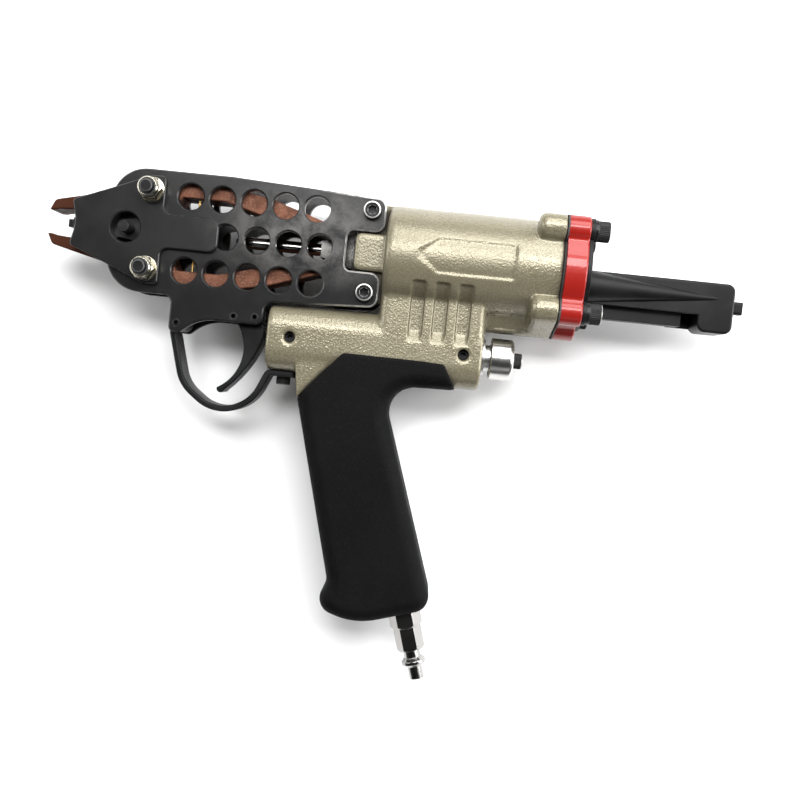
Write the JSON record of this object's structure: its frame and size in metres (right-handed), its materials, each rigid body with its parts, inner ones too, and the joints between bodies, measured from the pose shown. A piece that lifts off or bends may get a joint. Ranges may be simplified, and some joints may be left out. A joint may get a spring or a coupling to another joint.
{
  "type": "pneumatic hog ring plier",
  "caption": "Pistol-grip pneumatic hog ring plier: an air piston drives a wedge that closes two pivoted jaws, with trigger valve, perforated side plates, magazine tail and air plug",
  "frame": {"origin": "centre of the underside of the bounding box, with the tool lying on its right side", "axes": "+X runs from the jaws to the magazine tail along the barrel, +Y from the air plug up to the barrel, +Z out of the tool's left side"},
  "size_m": [0.344, 0.2388, 0.056],
  "materials": {
    "casting_grey": "grey-beige hammertone paint on a cast body",
    "plate_black": "black oxide steel, rubbed bright on the edges",
    "jaw_copper": "copper brown surface on hardened steel",
    "zinc": "zinc plate with a faint yellow tint",
    "screw_black": "black steel",
    "steel": "ground steel",
    "polished_steel": "polished steel",
    "spring_steel": "drawn spring wire",
    "spring_brass": "drawn brass-coloured wire",
    "bronze": "plain bearing bronze",
    "bare_aluminium": "turned aluminium",
    "cap_red": "gloss red coating",
    "gasket_dark": "thin dark gasket",
    "satin_black": "satin black steel",
    "insert_nylon": "black nylon ring in the locking nut",
    "grip_rubber": "fine-grained black rubber",
    "seal_rubber": "smooth black rubber"
  },
  "bodies": {
    "housing": {"body_casting": "casting_grey", "left_side_plate": "plate_black", "right_side_plate": "plate_black", "left_nose_plate": "plate_black", "right_nose_plate": "plate_black", "jaw_pivot_nuts": "zinc", "pivot_washers": "zinc", "jaw_pivot_bolts": "screw_black", "side_plate_screws": "screw_black", "rear_cap_screws": "screw_black", "guard_screw": "screw_black", "exhaust_screw": "screw_black", "valve_set_screws": "screw_black", "guard_pin": "screw_black", "trigger_pin": "screw_black", "trigger_stop_pin": "screw_black", "rear_spring_washers": "screw_black", "ring_guide": "screw_black", "nose_pin": "screw_black", "jaw_pivot_sleeves": "steel", "cylinder_liner": "steel", "exhaust_cup": "polished_steel", "air_plug": "polished_steel", "inlet_bushing": "polished_steel", "piston_return_spring": "spring_steel", "valve_spring": "spring_steel", "pusher_spring": "spring_steel", "jaw_return_springs": "spring_brass", "rod_bush": "bronze", "valve_bushing": "bare_aluminium", "exhaust_plug": "bare_aluminium", "rear_cap": "cap_red", "rear_cap_gasket": "gasket_dark", "magazine_tail": "satin_black", "ring_rail": "satin_black", "trigger_guard": "satin_black", "nut_inserts": "insert_nylon", "grip_sleeve": "grip_rubber", "front_bumper": "seal_rubber", "rod_seal": "seal_rubber"},
    "ram": {"piston": "bare_aluminium", "piston_seal": "seal_rubber", "piston_rod": "polished_steel", "piston_nut": "steel", "wedge": "steel", "wedge_pin": "steel"},
    "upper_jaw": {"upper_jaw": "jaw_copper"},
    "lower_jaw": {"lower_jaw": "jaw_copper"},
    "trigger": {"trigger": "satin_black"},
    "valve": {"valve_stem": "steel", "valve_o_rings": "seal_rubber"},
    "pusher": {"ring_pusher": "steel", "pull_tab": "satin_black"}
  },
  "joints": [
    {"name": "piston_stroke", "type": "slide", "parent": "housing", "child": "ram", "axis": [-1, 0, 0], "range_m": [0, 0.03], "stiffness_N_per_m": 600, "springref_m": -0.02, "deforming": ["piston_return_spring", "jaw_return_springs"]},
    {"name": "upper_jaw_swing", "type": "hinge", "parent": "housing", "child": "upper_jaw", "pos_m": [-0.12, 0.10882, 0.028], "axis": [0, 0, 1], "range_deg": [0, 5.9], "deforming": ["jaw_return_springs"]},
    {"name": "lower_jaw_swing", "type": "hinge", "parent": "housing", "child": "lower_jaw", "pos_m": [-0.12, 0.07062, 0.028], "axis": [0, 0, -1], "range_deg": [0, 5.9], "deforming": ["jaw_return_springs"]},
    {"name": "trigger_pull", "type": "hinge", "parent": "housing", "child": "trigger", "pos_m": [-0.0652, 0.05272, 0.028], "axis": [0, 0, 1], "range_deg": [0, 12], "stiffness_Nm_per_rad": 1, "springref_deg": -8.59, "deforming": ["valve_spring"]},
    {"name": "valve_slide", "type": "slide", "parent": "housing", "child": "valve", "axis": [1, 0, 0], "range_m": [0, 0.0019], "deforming": ["valve_spring"]},
    {"name": "pusher_pull", "type": "slide", "parent": "housing", "child": "pusher", "axis": [1, 0, 0], "range_m": [0, 0.026], "stiffness_N_per_m": 100, "springref_m": -0.03, "deforming": ["pusher_spring"]}
  ],
  "couplings": [
    {"joint": "upper_jaw_swing", "follows": "piston_stroke", "rad_per_m": 3.3743},
    {"joint": "lower_jaw_swing", "follows": "piston_stroke", "rad_per_m": 3.3743},
    {"joint": "valve_slide", "follows": "trigger_pull", "m_per_rad": 0.00895}
  ]
}
